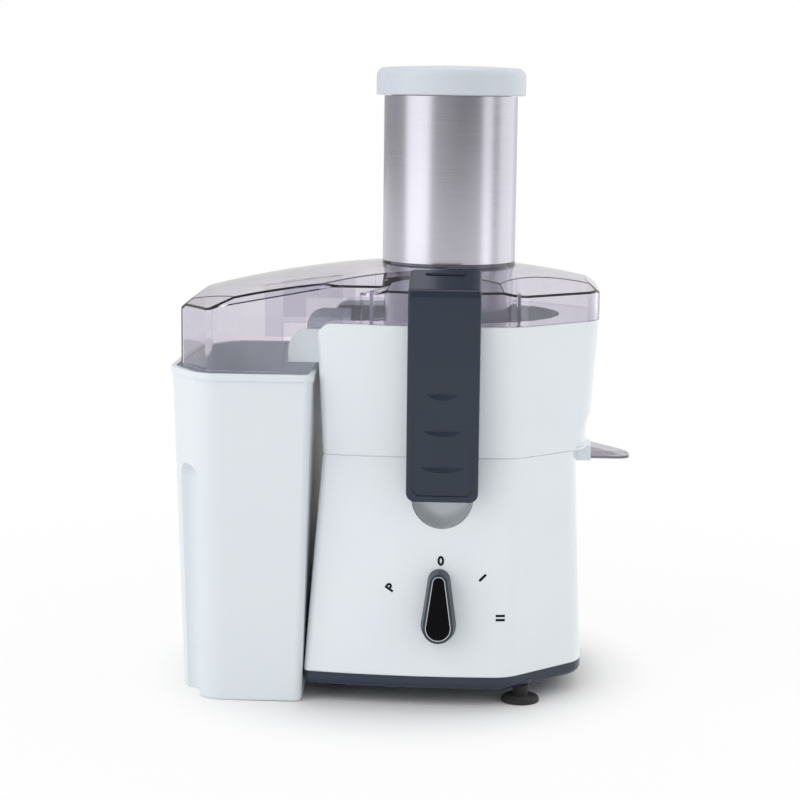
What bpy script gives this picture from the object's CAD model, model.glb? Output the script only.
import math

import bmesh
import bpy
from mathutils import Euler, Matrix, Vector


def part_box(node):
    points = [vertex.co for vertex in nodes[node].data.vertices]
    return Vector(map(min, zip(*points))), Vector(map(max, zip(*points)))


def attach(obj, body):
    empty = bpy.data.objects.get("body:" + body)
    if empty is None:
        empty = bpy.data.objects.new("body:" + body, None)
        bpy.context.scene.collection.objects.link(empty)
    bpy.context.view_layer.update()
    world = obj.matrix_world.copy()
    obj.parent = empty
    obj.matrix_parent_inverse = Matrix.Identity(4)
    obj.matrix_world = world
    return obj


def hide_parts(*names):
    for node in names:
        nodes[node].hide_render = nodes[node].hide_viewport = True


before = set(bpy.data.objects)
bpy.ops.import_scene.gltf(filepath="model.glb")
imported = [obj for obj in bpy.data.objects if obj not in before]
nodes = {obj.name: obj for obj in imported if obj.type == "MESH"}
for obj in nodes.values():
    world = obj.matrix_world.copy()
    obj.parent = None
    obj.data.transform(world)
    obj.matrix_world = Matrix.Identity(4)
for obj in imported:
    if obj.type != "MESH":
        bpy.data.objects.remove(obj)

# The bare workbench: whatever an empty file brings along is cleared, and the box of the packed
# model is kept, to be set against the dressed one at the end.
for spare in ("Cube", "Light", "Camera"):
    if spare in bpy.data.objects:
        bpy.data.objects.remove(bpy.data.objects[spare])
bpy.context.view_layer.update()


# Four suction feet of soft black rubber, cast in one piece with the plug that is pushed up
# through the base plate. Handled rubber picks up a dull bloom and fine dust.
micron = 0.000001
pattern_low, pattern_high = 0.3, 0.7


def new_finish(name):
    """Material with its shader and Object coordinates ready to be wired."""
    finish = bpy.data.materials.new(name)
    finish.use_nodes = True
    tree = finish.node_tree
    coords = tree.nodes.new("ShaderNodeTexCoord")
    return finish, tree, tree.nodes["Principled BSDF"], coords.outputs["Object"]


def grain(tree, coords, per_metre, detail=3.0, stretch=(1, 1, 1)):
    """Noise over the surface with a given number of grains to the metre."""
    place = tree.nodes.new("ShaderNodeMapping")
    place.inputs["Scale"].default_value = stretch
    noise = tree.nodes.new("ShaderNodeTexNoise")
    noise.inputs["Scale"].default_value = per_metre
    noise.inputs["Detail"].default_value = detail
    tree.links.new(coords, place.inputs["Vector"])
    tree.links.new(place.outputs["Vector"], noise.inputs["Vector"])
    return noise.outputs["Fac"]


def tint(tree, share, dark, light):
    """Colour between two shades, led by a pattern."""
    ramp = tree.nodes.new("ShaderNodeValToRGB")
    ramp.color_ramp.elements[0].position = pattern_low
    ramp.color_ramp.elements[1].position = pattern_high
    ramp.color_ramp.elements[0].color = (*dark, 1)
    ramp.color_ramp.elements[1].color = (*light, 1)
    tree.links.new(share, ramp.inputs["Fac"])
    return ramp.outputs["Color"]


def between(tree, share, low, high):
    """Number between two limits, led by a pattern."""
    span = tree.nodes.new("ShaderNodeMapRange")
    span.inputs["From Min"].default_value = pattern_low
    span.inputs["From Max"].default_value = pattern_high
    span.inputs["To Min"].default_value = low
    span.inputs["To Max"].default_value = high
    tree.links.new(share, span.inputs["Value"])
    return span.outputs["Result"]


def relief(tree, shader, height, depth):
    """Fine relief of a given depth in metres."""
    bump = tree.nodes.new("ShaderNodeBump")
    bump.inputs["Strength"].default_value = 1.0
    bump.inputs["Distance"].default_value = depth
    tree.links.new(height, bump.inputs["Height"])
    tree.links.new(bump.outputs["Normal"], shader.inputs["Normal"])


def dress(finish, *names):
    """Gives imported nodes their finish."""
    for name in names:
        for place in nodes[name].material_slots:
            place.material = finish


def soft_rubber(name, dark, light):
    """Matt rubber with a dull bloom and a fine skin."""
    finish, tree, shader, coords = new_finish(name)
    bloom = grain(tree, coords, per_metre=90, detail=5)
    tree.links.new(tint(tree, bloom, dark, light), shader.inputs["Base Color"])
    tree.links.new(between(tree, bloom, low=0.62, high=0.8), shader.inputs["Roughness"])
    shader.inputs["Sheen Weight"].default_value = 0.08
    relief(tree, shader, grain(tree, coords, per_metre=2600, detail=2), depth=30 * micron)
    return finish


foot_rubber = soft_rubber("foot_rubber", dark=(0.012, 0.011, 0.011), light=(0.026, 0.024, 0.023))
dress(foot_rubber, "foot_front_right", "foot_rear_right", "foot_front_left", "foot_rear_left")


# Base plate: a shallow tray injection moulded in slate grey, with a fine spark-eroded grain,
# held to the deck's posts by four zinc-plated screws. The motor's screws and bolts match them.
def moulded_plastic(name, dark, light, gloss, grains, depth, coat=0.0, shine=0.5):
    """Moulded plastic: colour drifts a little, gloss is uneven, the tool leaves a fine grain."""
    finish, tree, shader, coords = new_finish(name)
    drift = grain(tree, coords, per_metre=22, detail=4)
    tree.links.new(tint(tree, drift, dark, light), shader.inputs["Base Color"])
    handled = grain(tree, coords, per_metre=70, detail=5)
    tree.links.new(between(tree, handled, *gloss), shader.inputs["Roughness"])
    shader.inputs["Coat Weight"].default_value = coat
    shader.inputs["Coat Roughness"].default_value = 0.06
    shader.inputs["IOR"].default_value = 1.5
    shader.inputs["Specular IOR Level"].default_value = shine
    relief(tree, shader, grain(tree, coords, per_metre=grains, detail=2), depth)
    return finish


plate_grey = moulded_plastic("plate_grey", dark=(0.023, 0.033, 0.056), light=(0.027, 0.037, 0.060),
                             gloss=(0.20, 0.24), grains=1200, depth=3 * micron, shine=0.4)
dress(plate_grey, "base_plate")


def plated_metal(name, dark, light, gloss, per_metre, stretch=(1, 1, 1), depth=10 * micron):
    """Bare or plated metal whose brightness and polish vary along the working marks."""
    finish, tree, shader, coords = new_finish(name)
    marks = grain(tree, coords, per_metre, detail=4, stretch=stretch)
    tree.links.new(tint(tree, marks, dark, light), shader.inputs["Base Color"])
    tree.links.new(between(tree, marks, *gloss), shader.inputs["Roughness"])
    shader.inputs["Metallic"].default_value = 1.0
    relief(tree, shader, marks, depth)
    return finish


zinc_plate = plated_metal("zinc_plate", dark=(0.42, 0.43, 0.45), light=(0.58, 0.58, 0.60),
                          gloss=(0.24, 0.38), per_metre=500)
dress(zinc_plate, "base_screws", "mount_screws", "motor_bolts")


# Motor housing: the white glossy lower shell with its clamp pockets, injection moulded in ABS
# in a polished tool. The deck with the well and the motor posts is a second moulding set into it.
gloss_white = moulded_plastic("gloss_white", dark=(0.795, 0.845, 0.89), light=(0.815, 0.865, 0.90),
                              gloss=(0.07, 0.11), grains=260, depth=3 * micron, coat=0.9)
dress(gloss_white, "motor_housing", "motor_deck")


# Dial marks round the selector: pulse, off and two speeds, pad printed in black ink straight
# on the bowed front wall, so each mark follows the wall and turns with its knob position.
# They are set out sideways from the drive axis and upwards from the table.
shaft_low, shaft_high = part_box("motor_shaft")
axis_x = (shaft_low.x + shaft_high.x) / 2
axis_y = (shaft_low.y + shaft_high.y) / 2
mm = 0.001
ink_seat = 0.01 * mm
ink_film = 0.1 * mm
well_in_front = -300 * mm


def black_ink():
    """Printing ink with slightly uneven cover."""
    finish, tree, shader, coords = new_finish("black_ink")
    cover = grain(tree, coords, per_metre=1800)
    shade = tint(tree, cover, dark=(0.006, 0.006, 0.008), light=(0.016, 0.016, 0.020))
    tree.links.new(shade, shader.inputs["Base Color"])
    tree.links.new(between(tree, cover, low=0.32, high=0.5), shader.inputs["Roughness"])
    shader.inputs["Specular IOR Level"].default_value = 0.12
    return finish


ink = black_ink()


def stroke_bar(width, height, shift=0.0, steps=8):
    """Upright bar as a strip of short pieces, so that it can follow a bowed wall."""
    left, right, step = shift - width / 2, shift + width / 2, height / steps
    levels = [step * i - height / 2 for i in range(steps)]
    return [[(left, y), (right, y), (right, y + step), (left, y + step)] for y in levels]


def oval_ring(half_x, half_y, line, centre=(0, 0), start=0.0, sweep=2 * math.pi, steps=40):
    """Strip that runs round an oval."""
    turns = [start + sweep * i / steps for i in range(steps + 1)]
    x, y = centre
    inner = [(x + (half_x - line) * math.cos(a), y + (half_y - line) * math.sin(a)) for a in turns]
    outer = [(x + half_x * math.cos(a), y + half_y * math.sin(a)) for a in turns]
    return [[inner[i], outer[i], outer[i + 1], inner[i + 1]] for i in range(steps)]


def dial_mark(name, faces, aside, height, turn, under="motor_housing", body="base"):
    """Thin printed mark laid on the piece under it: faces are flat outlines in millimetres."""
    wall = nodes[under]
    bm = bmesh.new()
    cosine, sine = math.cos(math.radians(turn)), math.sin(math.radians(turn))
    for outline in faces:
        loop = []
        for x, y in outline:
            across = axis_x + (aside + cosine * x - sine * y) * mm
            up = (height + sine * x + cosine * y) * mm
            _, hit, normal, _ = wall.ray_cast(Vector((across, well_in_front, up)), Vector((0, 1, 0)))
            loop.append(hit + normal * ink_seat)
        bm.faces.new([bm.verts.new(point) for point in loop])
    bmesh.ops.remove_doubles(bm, verts=bm.verts, dist=ink_seat / 2)
    shell = bmesh.ops.extrude_face_region(bm, geom=bm.faces[:])
    for v in [g for g in shell["geom"] if isinstance(g, bmesh.types.BMVert)]:
        v.co.y -= ink_film
    bmesh.ops.recalc_face_normals(bm, faces=bm.faces)
    mesh = bpy.data.meshes.new(name)
    bm.to_mesh(mesh)
    bm.free()
    mark = bpy.data.objects.new(name, mesh)
    bpy.context.collection.objects.link(mark)
    mesh.materials.append(ink)
    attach(mark, body)


dial_mark("mark_off", oval_ring(half_x=2.0, half_y=3.0, line=1.4), aside=-0.2, height=88.4, turn=0)
pulse_line = 1.35
pulse_stem = stroke_bar(width=1.4, height=5.6, shift=-1.15)
pulse_bowl = oval_ring(half_x=2.0, half_y=1.8, line=pulse_line, centre=(0.1, 1.0),
                       start=-math.pi / 2, sweep=math.pi)
pulse_arms = [[(-0.5, y), (0.1, y), (0.1, y + pulse_line), (-0.5, y + pulse_line)]
              for y in (-0.8, 1.45)]
dial_mark("mark_pulse", [*pulse_stem, *pulse_bowl, *pulse_arms], aside=-30.4, height=71.6, turn=56)
dial_mark("mark_low", stroke_bar(width=1.5, height=5.6), aside=25.0, height=78.6, turn=-45)
speed_bars = [bar for shift in (-1.25, 1.25) for bar in stroke_bar(width=1.45, height=5.5, shift=shift)]
dial_mark("mark_high", speed_bars, aside=36.0, height=54.4, turn=-90)


# Lead bush: black rubber block held in a notch of the rear wall, where the mains lead would leave.
# Mount bushes and the shaft seal are the same soft stock, moulded to size.
seal_rubber = soft_rubber("seal_rubber", dark=(0.016, 0.016, 0.017), light=(0.030, 0.030, 0.032))
dress(seal_rubber, "cord_gland", "mount_bushes", "shaft_seal")


# Motor: end brackets die cast in zinc alloy, stator and rotor stacked from punched sheets,
# coils of enamelled copper wire, brush gear in brass with carbon brushes, all on a ground shaft.
def stacked_sheets(name, dark, light, fineness, metallic, gloss):
    """Fine level lines one above the other, as punched sheets or wound wire show."""
    finish, tree, shader, coords = new_finish(name)
    lines = tree.nodes.new("ShaderNodeTexWave")
    lines.bands_direction = "Z"
    lines.inputs["Scale"].default_value = fineness
    lines.inputs["Distortion"].default_value = 0.6
    tree.links.new(coords, lines.inputs["Vector"])
    tree.links.new(tint(tree, lines.outputs["Fac"], dark, light), shader.inputs["Base Color"])
    handled = grain(tree, coords, per_metre=140)
    tree.links.new(between(tree, handled, *gloss), shader.inputs["Roughness"])
    shader.inputs["Metallic"].default_value = metallic
    relief(tree, shader, lines.outputs["Fac"], depth=150 * micron)
    return finish


cast_alloy = plated_metal("cast_alloy", dark=(0.36, 0.37, 0.38), light=(0.47, 0.47, 0.48),
                          gloss=(0.42, 0.58), per_metre=260, depth=40 * micron)
dress(cast_alloy, "motor_bracket_upper", "motor_bracket_lower")
punched_sheets = stacked_sheets("punched_sheets", dark=(0.16, 0.16, 0.17), light=(0.30, 0.30, 0.31),
                                fineness=70, metallic=1.0, gloss=(0.38, 0.52))
dress(punched_sheets, "motor_stator", "armature_core")
enamelled_wire = stacked_sheets("enamelled_wire", dark=(0.42, 0.13, 0.05), light=(0.66, 0.26, 0.11),
                                fineness=80, metallic=0.85, gloss=(0.28, 0.4))
dress(enamelled_wire, "field_coils", "armature_winding")
ground_steel = plated_metal("ground_steel", dark=(0.50, 0.50, 0.51), light=(0.62, 0.62, 0.63),
                            gloss=(0.14, 0.24), per_metre=60, stretch=(1, 1, 60))
dress(ground_steel, "motor_shaft", "bearing_upper", "bearing_lower", "switch_shaft")
brass_strip = plated_metal("brass_strip", dark=(0.60, 0.43, 0.18), light=(0.74, 0.55, 0.26),
                           gloss=(0.26, 0.38), per_metre=300)
dress(brass_strip, "brush_holders", "commutator")
pressed_carbon = soft_rubber("pressed_carbon", dark=(0.014, 0.014, 0.015), light=(0.030, 0.030, 0.031))
dress(pressed_carbon, "carbon_brushes")
dark_moulding = moulded_plastic("dark_moulding", dark=(0.016, 0.016, 0.018),
                                light=(0.028, 0.028, 0.031), gloss=(0.42, 0.56), grains=1600,
                                depth=40 * micron)
dress(dark_moulding, "cooling_fan", "rotary_switch", "drive_coupling")


# Selector: a grey tapered grip moulded over the switch shaft, with a printed arrow at its tip,
# a thin bright trim ring pressed into its pocket and a high-gloss black inlay inside the ring.
knob_low, knob_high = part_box("control_knob")
knob_middle = ((knob_low.x + knob_high.x) / 2 - axis_x) / mm
arrow_below_tip = 1.4
arrow_height = knob_high.z / mm - arrow_below_tip
grip_grey = moulded_plastic("grip_grey", dark=(0.036, 0.050, 0.066), light=(0.043, 0.058, 0.075),
                            gloss=(0.34, 0.40), grains=1200, depth=6 * micron, shine=0.2)
dress(grip_grey, "control_knob")
arrow_outline = [(-1.1, -0.5), (1.1, -0.5), (0, 0.5)]
dial_mark("knob_arrow", [arrow_outline], aside=knob_middle, height=arrow_height, turn=0,
          under="control_knob", body="knob")
bright_trim = plated_metal("bright_trim", dark=(0.48, 0.49, 0.51), light=(0.60, 0.60, 0.62),
                           gloss=(0.14, 0.24), per_metre=400)
dress(bright_trim, "knob_ring")
gloss_black = moulded_plastic("gloss_black", dark=(0.003, 0.003, 0.004), light=(0.006, 0.006, 0.008),
                              gloss=(0.05, 0.09), grains=300, depth=3 * micron, shine=0.03)
dress(gloss_black, "knob_inlay")


# Juice bowl: the white glossy upper shell with its collector cup and spout duct, moulded in
# the same white as the housing. Its spout is a short trough in clear smoky plastic.
dress(gloss_white, "juice_bowl")


def smoky_clear(name, dark, light, gloss, smoke, density):
    """Clear tinted plastic: smoke deepens with thickness, with faint flow marks from the tool."""
    finish, tree, shader, coords = new_finish(name)
    drift = grain(tree, coords, per_metre=14)
    tree.links.new(tint(tree, drift, dark, light), shader.inputs["Base Color"])
    handled = grain(tree, coords, per_metre=60, detail=4)
    tree.links.new(between(tree, handled, *gloss), shader.inputs["Roughness"])
    shader.inputs["Transmission Weight"].default_value = 1.0
    shader.inputs["IOR"].default_value = 1.49
    relief(tree, shader, grain(tree, coords, per_metre=120, detail=2), depth=20 * micron)
    lamp_path = tree.nodes.new("ShaderNodeLightPath")
    lamp_passes = tree.nodes.new("ShaderNodeBsdfTransparent")
    either = tree.nodes.new("ShaderNodeMixShader")
    tree.links.new(lamp_path.outputs["Is Shadow Ray"], either.inputs["Fac"])
    tree.links.new(shader.outputs["BSDF"], either.inputs[1])
    tree.links.new(lamp_passes.outputs["BSDF"], either.inputs[2])
    tree.links.new(either.outputs["Shader"], tree.nodes["Material Output"].inputs["Surface"])
    inside = tree.nodes.new("ShaderNodeVolumeAbsorption")
    inside.inputs["Color"].default_value = (*smoke, 1)
    inside.inputs["Density"].default_value = density
    tree.links.new(inside.outputs["Volume"], tree.nodes["Material Output"].inputs["Volume"])
    return finish


spout_clear = smoky_clear("spout_clear", dark=(0.66, 0.65, 0.67), light=(0.72, 0.71, 0.73),
                          gloss=(0.03, 0.06), smoke=(0.4, 0.38, 0.5), density=100)
dress(spout_clear, "juice_spout")


# Filter basket: a moulded white frame and hub round a stainless grater disc, with a
# conical stainless sheet whose rows of round holes strain the juice.
frame_white = moulded_plastic("frame_white", dark=(0.74, 0.76, 0.79), light=(0.78, 0.80, 0.82),
                              gloss=(0.36, 0.46), grains=1500, depth=30 * micron)
dress(frame_white, "basket_frame", "basket_hub")
grater_steel = plated_metal("grater_steel", dark=(0.66, 0.66, 0.67), light=(0.76, 0.76, 0.77),
                            gloss=(0.24, 0.36), per_metre=120, stretch=(1, 14, 1))
dress(grater_steel, "grater_disc")

sieve_columns, sieve_rows = 116, 13
sieve_low, sieve_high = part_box("sieve_wall")
sieve_sheet = 0.6 * mm
sieve_foot_radius = 47.3 * mm
sieve_top_radius = 61.3 * mm
sieve_seam = 0.02 * mm
hole_share = 0.27
hole_sides = 8


def sieve_cell():
    """One square of the sheet, a unit wide and thick, with a hole through its middle."""
    bm = bmesh.new()
    rings = []
    for level in (-0.5, 0.5):
        edge, hole = [], []
        for i in range(hole_sides):
            angle = math.radians(45 + 360 / hole_sides * i)
            x, y = math.cos(angle), math.sin(angle)
            reach = 0.5 / max(abs(x), abs(y))
            edge.append(bm.verts.new((reach * x, reach * y, level)))
            hole.append(bm.verts.new((hole_share * x, hole_share * y, level)))
        rings.append((edge, hole))
    for i in range(hole_sides):
        j = (i + 1) % hole_sides
        for (edge, hole), flip in zip(rings, (True, False)):
            quad = [edge[i], edge[j], hole[j], hole[i]]
            bm.faces.new(quad[::-1] if flip else quad)
        bm.faces.new([rings[0][1][i], rings[0][1][j], rings[1][1][j], rings[1][1][i]])
    bmesh.ops.recalc_face_normals(bm, faces=bm.faces)
    mesh = bpy.data.meshes.new("sieve_cell")
    bm.to_mesh(mesh)
    bm.free()
    return bpy.data.objects.new("sieve_cell", mesh)


def sieve_tree(cell, sheet_finish):
    """Node tree: a flat grid of cells, rolled into the cone of the sieve."""
    tree = bpy.data.node_groups.new("perforated_cone", "GeometryNodeTree")
    face = tree.interface
    sizes = {"Columns": sieve_columns, "Rows": sieve_rows, "Foot radius": sieve_foot_radius,
             "Top radius": sieve_top_radius, "Foot height": sieve_low.z,
             "Rise": sieve_high.z - sieve_low.z, "Sheet": sieve_sheet,
             "Centre X": axis_x, "Centre Y": axis_y}
    for label, value in sizes.items():
        kind = "NodeSocketInt" if isinstance(value, int) else "NodeSocketFloat"
        face.new_socket(label, in_out="INPUT", socket_type=kind).default_value = value
    face.new_socket("Geometry", in_out="OUTPUT", socket_type="NodeSocketGeometry")
    add, link = tree.nodes.new, tree.links.new
    sheet = add("NodeGroupInput").outputs

    def calc(operation, a, b=None):
        """One sum in the tree, from numbers or sockets."""
        node = add("ShaderNodeMath")
        node.operation = operation
        for place, value in zip(node.inputs, (a, b)):
            if isinstance(value, (int, float)):
                place.default_value = value
            elif value is not None:
                link(value, place)
        return node.outputs["Value"]

    grid = add("GeometryNodeMeshGrid")
    link(calc("SUBTRACT", sheet["Columns"], 1), grid.inputs["Size X"])
    link(calc("SUBTRACT", sheet["Rows"], 1), grid.inputs["Size Y"])
    link(sheet["Columns"], grid.inputs["Vertices X"])
    link(sheet["Rows"], grid.inputs["Vertices Y"])
    info = add("GeometryNodeObjectInfo")
    info.inputs["Object"].default_value = cell
    spread = add("GeometryNodeInstanceOnPoints")
    link(grid.outputs["Mesh"], spread.inputs["Points"])
    link(info.outputs["Geometry"], spread.inputs["Instance"])
    real = add("GeometryNodeRealizeInstances")
    link(spread.outputs["Instances"], real.inputs["Geometry"])
    where = add("GeometryNodeInputPosition")
    split = add("ShaderNodeSeparateXYZ")
    link(where.outputs["Position"], split.inputs["Vector"])
    turn = calc("MULTIPLY", calc("DIVIDE", split.outputs["X"], sheet["Columns"]), 2 * math.pi)
    share = calc("ADD", calc("DIVIDE", split.outputs["Y"], sheet["Rows"]), 0.5)
    flare = calc("MULTIPLY", calc("SUBTRACT", sheet["Top radius"], sheet["Foot radius"]), share)
    through = calc("MULTIPLY", calc("ADD", split.outputs["Z"], 0.5), sheet["Sheet"])
    radius = calc("ADD", calc("ADD", sheet["Foot radius"], flare), through)
    aside = calc("MULTIPLY", radius, calc("COSINE", turn))
    back = calc("MULTIPLY", radius, calc("SINE", turn))
    climb = calc("MULTIPLY", share, sheet["Rise"])
    rolled = add("ShaderNodeCombineXYZ")
    link(calc("ADD", aside, sheet["Centre X"]), rolled.inputs["X"])
    link(calc("ADD", back, sheet["Centre Y"]), rolled.inputs["Y"])
    link(calc("ADD", climb, sheet["Foot height"]), rolled.inputs["Z"])
    moved = add("GeometryNodeSetPosition")
    link(real.outputs["Geometry"], moved.inputs["Geometry"])
    link(rolled.outputs["Vector"], moved.inputs["Position"])
    joined = add("GeometryNodeMergeByDistance")
    joined.inputs["Distance"].default_value = sieve_seam
    link(moved.outputs["Geometry"], joined.inputs["Geometry"])
    paint = add("GeometryNodeSetMaterial")
    paint.inputs["Material"].default_value = sheet_finish
    link(joined.outputs["Geometry"], paint.inputs["Geometry"])
    link(paint.outputs["Geometry"], add("NodeGroupOutput").inputs["Geometry"])
    return tree


def settle(name, tree):
    """Plain mesh object from a node tree, with no modifier left on it."""
    carrier = bpy.data.objects.new(name + "_carrier", bpy.data.meshes.new(name + "_carrier"))
    bpy.context.collection.objects.link(carrier)
    carrier.modifiers.new("form", "NODES").node_group = tree
    ready = carrier.evaluated_get(bpy.context.evaluated_depsgraph_get())
    mesh = bpy.data.meshes.new_from_object(ready)
    bpy.data.objects.remove(carrier)
    piece = bpy.data.objects.new(name, mesh)
    bpy.context.collection.objects.link(piece)
    return piece


sieve_steel = plated_metal("sieve_steel", dark=(0.68, 0.68, 0.69), light=(0.78, 0.78, 0.79),
                           gloss=(0.24, 0.36), per_metre=200)
sieve_sheet_cell = sieve_cell()
sieve = settle("perforated_sieve", sieve_tree(sieve_sheet_cell, sieve_steel))
bpy.data.objects.remove(sieve_sheet_cell)
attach(sieve, "rotor")
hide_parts("sieve_wall")


# Lid: one clear smoky moulding with the chamber roof, pulp chute, guide walls and feed tube,
# held down by the two clamps.
lid_clear = smoky_clear("lid_clear", dark=(0.90, 0.895, 0.92), light=(0.93, 0.925, 0.95),
                        gloss=(0.02, 0.05), smoke=(0.45, 0.38, 0.53), density=90)
dress(lid_clear, "lid")


# Feed tube sleeve: thin stainless sheet rolled round the clear tube, brushed round and round,
# so lamps draw out into upright bands.
def brushed_sleeve():
    """Steel brushed round the tube: fine level lines, with the shine drawn out upright."""
    finish, tree, shader, coords = new_finish("brushed_sleeve")
    lines = grain(tree, coords, per_metre=30, detail=5, stretch=(1, 1, 160))
    steel = tint(tree, lines, dark=(0.465, 0.457, 0.510), light=(0.515, 0.507, 0.562))
    tree.links.new(steel, shader.inputs["Base Color"])
    tree.links.new(between(tree, lines, low=0.17, high=0.23), shader.inputs["Roughness"])
    shader.inputs["Metallic"].default_value = 1.0
    shader.inputs["Anisotropic"].default_value = 0.75
    round_about = tree.nodes.new("ShaderNodeTangent")
    round_about.direction_type = "RADIAL"
    round_about.axis = "Z"
    tree.links.new(round_about.outputs["Tangent"], shader.inputs["Tangent"])
    relief(tree, shader, lines, depth=4 * micron)
    return finish


dress(brushed_sleeve(), "tube_sleeve")


# Pusher: a hollow white plunger that slides in the feed tube, closed by a domed satin cap
# that rests on the tube's rim.
satin_white = moulded_plastic("satin_white", dark=(0.63, 0.675, 0.74), light=(0.645, 0.69, 0.755),
                              gloss=(0.30, 0.36), grains=300, depth=5 * micron)
dress(satin_white, "pusher_body", "pusher_cap")


# Pulp bin: a deep open bucket moulded in milky white plastic, set under the pulp chute and
# gripped at the two scooped corners.
bin_white = moulded_plastic("bin_white", dark=(0.764, 0.814, 0.852), light=(0.772, 0.822, 0.858),
                            gloss=(0.28, 0.29), grains=1500, depth=2 * micron)
dress(bin_white, "pulp_bin")


# Clamps: slate grey levers with a hook over the lid's edge, hung on short links and steel
# pins in the housing pockets, front and back.
slate_grey = moulded_plastic("slate_grey", dark=(0.017, 0.027, 0.048), light=(0.020, 0.030, 0.052),
                             gloss=(0.15, 0.18), grains=1200, depth=2 * micron, shine=0.4)
dress(slate_grey, "front_clamp", "rear_clamp", "front_link", "rear_link")
dress(ground_steel, "front_pivot_pin", "rear_pivot_pin", "front_link_pin", "rear_link_pin")


# Studio lamps: a broad softbox at the front left, a tall strip and a fill panel at the right
# and a panel overhead, all soft and all aimed at the middle of the machine.
lamp_aim_height = 0.2


def soft_lamp(name, turn, lift, reach, width, height, power):
    """Rectangular lamp aimed at the middle of the machine; turn is counted from the front."""
    lamp = bpy.data.lights.new(name, "AREA")
    lamp.shape = "RECTANGLE"
    lamp.size, lamp.size_y = width, height
    lamp.energy = power
    holder = bpy.data.objects.new(name, lamp)
    angle = math.radians(turn)
    holder.location = (axis_x + reach * math.sin(angle), axis_y - reach * math.cos(angle), lift)
    aim = Vector((axis_x, axis_y, lamp_aim_height)) - holder.location
    holder.rotation_euler = aim.to_track_quat("-Z", "Y").to_euler()
    bpy.context.collection.objects.link(holder)


soft_lamp("left_softbox", turn=-56, lift=1.05, reach=1.7, width=1.8, height=2.3, power=15)
soft_lamp("right_strip", turn=68, lift=0.85, reach=1.6, width=0.65, height=1.8, power=4)
soft_lamp("right_fill", turn=118, lift=0.9, reach=1.8, width=1.8, height=2.0, power=6)
soft_lamp("top_panel", turn=180, lift=2.1, reach=0.5, width=1.6, height=1.2, power=6)


# Floor: one wide sheet of matt white paper just under the feet. It shows as plain white further
# out, and fades close round the machine to bare paper that takes the machine's shadow.
half_floor = 6.0
floor_gap = 0.2 * mm
corner_signs = ((-1, -1), (1, -1), (1, 1), (-1, 1))
floor_corners = [(x * half_floor, y * half_floor, 0) for x, y in corner_signs]
floor_mesh = bpy.data.meshes.new("studio_floor")
floor_mesh.from_pydata(floor_corners, [], [(0, 1, 2, 3)])
studio_floor = bpy.data.objects.new("studio_floor", floor_mesh)
studio_floor.location.z = -floor_gap
bpy.context.collection.objects.link(studio_floor)


def seen_rays(tree, *kinds):
    """1 for rays of the named kinds."""
    path = tree.nodes.new("ShaderNodeLightPath")
    total = path.outputs[kinds[0]]
    for ray in kinds[1:]:
        more = tree.nodes.new("ShaderNodeMath")
        more.operation = "MAXIMUM"
        tree.links.new(total, more.inputs[0])
        tree.links.new(path.outputs[ray], more.inputs[1])
        total = more.outputs["Value"]
    return total


shadow_half_width, shadow_half_depth = 0.165, 0.175
shadow_edge_place = 0.25
full_shadow_place, faint_shadow_place = 0.14, 0.26
faint_shadow_white = 0.88
sheet_white, tree, shader, coords = new_finish("sheet_white")
clouds = grain(tree, coords, per_metre=3, detail=2)
paper = tint(tree, clouds, dark=(0.90, 0.90, 0.905), light=(0.92, 0.92, 0.925))
tree.links.new(paper, shader.inputs["Base Color"])
shader.inputs["Roughness"].default_value = 0.6
glow = tree.nodes.new("ShaderNodeEmission")
glow.inputs["Strength"].default_value = 1.0
shown = tree.nodes.new("ShaderNodeMixShader")
reach = tree.nodes.new("ShaderNodeMapping")
across, along = shadow_edge_place / shadow_half_width, shadow_edge_place / shadow_half_depth
reach.inputs["Scale"].default_value = (across, along, 1)
tree.links.new(coords, reach.inputs["Vector"])
away = tree.nodes.new("ShaderNodeVectorMath")
away.operation = "LENGTH"
tree.links.new(reach.outputs["Vector"], away.inputs[0])
fade = tree.nodes.new("ShaderNodeValToRGB")
fade.color_ramp.interpolation = "EASE"
fade.color_ramp.elements[0].position = full_shadow_place
faint = fade.color_ramp.elements.new(faint_shadow_place)
faint.color = (faint_shadow_white, faint_shadow_white, faint_shadow_white, 1)
tree.links.new(away.outputs["Value"], fade.inputs["Fac"])
glow_share = tree.nodes.new("ShaderNodeMath")
glow_share.operation = "MULTIPLY"
tree.links.new(fade.outputs["Color"], glow_share.inputs[1])
backdrop_rays = seen_rays(tree, "Is Camera Ray", "Is Glossy Ray", "Is Transmission Ray")
tree.links.new(backdrop_rays, glow_share.inputs[0])
tree.links.new(glow_share.outputs["Value"], shown.inputs["Fac"])
tree.links.new(shader.outputs["BSDF"], shown.inputs[1])
tree.links.new(glow.outputs["Emission"], shown.inputs[2])
tree.links.new(shown.outputs["Shader"], tree.nodes["Material Output"].inputs["Surface"])
floor_mesh.materials.append(sheet_white)


# Room: a plain white backdrop and an even light from all round. Polished pieces mirror walls that
# are bright behind and darker in front, listed as angle from the front and brightness.
room_walls = ((-180, 0.9), (-150, 0.55), (-100, 0.5), (-30, 0.52), (0, 0.42), (20, 0.3), (72, 0.3),
              (98, 0.8), (150, 0.95), (180, 0.9))


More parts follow.
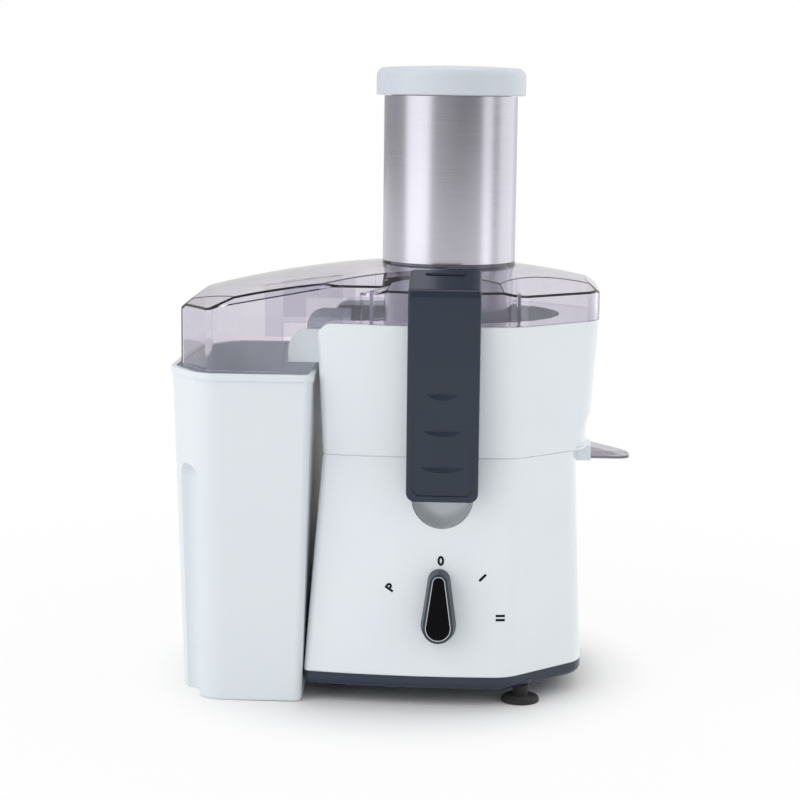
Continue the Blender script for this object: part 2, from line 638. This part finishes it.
def room_ring(tree):
    """Brightness of the walls that polished pieces mirror, by angle from the front."""
    coords = tree.nodes.new("ShaderNodeTexCoord")
    parts = tree.nodes.new("ShaderNodeSeparateXYZ")
    tree.links.new(coords.outputs["Object"], parts.inputs["Vector"])
    back = tree.nodes.new("ShaderNodeMath")
    back.operation = "MULTIPLY"
    back.inputs[1].default_value = -1.0
    tree.links.new(parts.outputs["Y"], back.inputs[0])
    angle = tree.nodes.new("ShaderNodeMath")
    angle.operation = "ARCTAN2"
    tree.links.new(parts.outputs["X"], angle.inputs[0])
    tree.links.new(back.outputs["Value"], angle.inputs[1])
    share = tree.nodes.new("ShaderNodeMapRange")
    share.inputs["From Min"].default_value = -math.pi
    share.inputs["From Max"].default_value = math.pi
    tree.links.new(angle.outputs["Value"], share.inputs["Value"])
    walls = tree.nodes.new("ShaderNodeValToRGB")
    tree.links.new(share.outputs["Result"], walls.inputs["Fac"])
    stops = walls.color_ramp.elements
    for turn, bright in room_walls:
        place = turn / 360 + 0.5
        ends = [stop for stop in stops if stop.position == place]
        stop = ends[0] if ends else stops.new(place)
        stop.color = (bright, bright, bright, 1)
    return walls.outputs["Color"]


world = bpy.data.worlds.new("studio_world")
bpy.context.scene.world = world
world.use_nodes = True
sky = world.node_tree
backdrop = sky.nodes["Background"]
backdrop.inputs["Color"].default_value = (1, 1, 1, 1)
room_light, white_backdrop = 0.64, 1.0
level = sky.nodes.new("ShaderNodeMapRange")
level.inputs["To Min"].default_value = room_light
level.inputs["To Max"].default_value = white_backdrop
sky.links.new(seen_rays(sky, "Is Camera Ray", "Is Transmission Ray"), level.inputs["Value"])
mirrored = sky.nodes.new("ShaderNodeMix")
sky.links.new(seen_rays(sky, "Is Glossy Ray"), mirrored.inputs["Factor"])
sky.links.new(level.outputs["Result"], mirrored.inputs["A"])
sky.links.new(room_ring(sky), mirrored.inputs["B"])
sky.links.new(mirrored.outputs["Result"], backdrop.inputs["Strength"])


# Viewpoint: the photograph's, a long lens almost straight in front, level with the pusher's cap
# and tilted down. Its place is counted from the drive axis, and its angles are in degrees.
view_right, view_back, view_height = 0.02735, 1.30571, 0.366
view_tilt, view_roll, view_turn = 81.6, -0.6925, 2.5912
lens = bpy.data.cameras.new("photo_view")
lens.sensor_width = 36.0
lens.lens = 94.05
photo_view = bpy.data.objects.new("photo_view", lens)
photo_view.location = (axis_x + view_right, axis_y - view_back, view_height)
photo_view.rotation_euler = Euler([math.radians(a) for a in (view_tilt, view_roll, view_turn)])
bpy.context.collection.objects.link(photo_view)
bpy.context.scene.camera = photo_view
bpy.context.scene.view_settings.view_transform = "Standard"
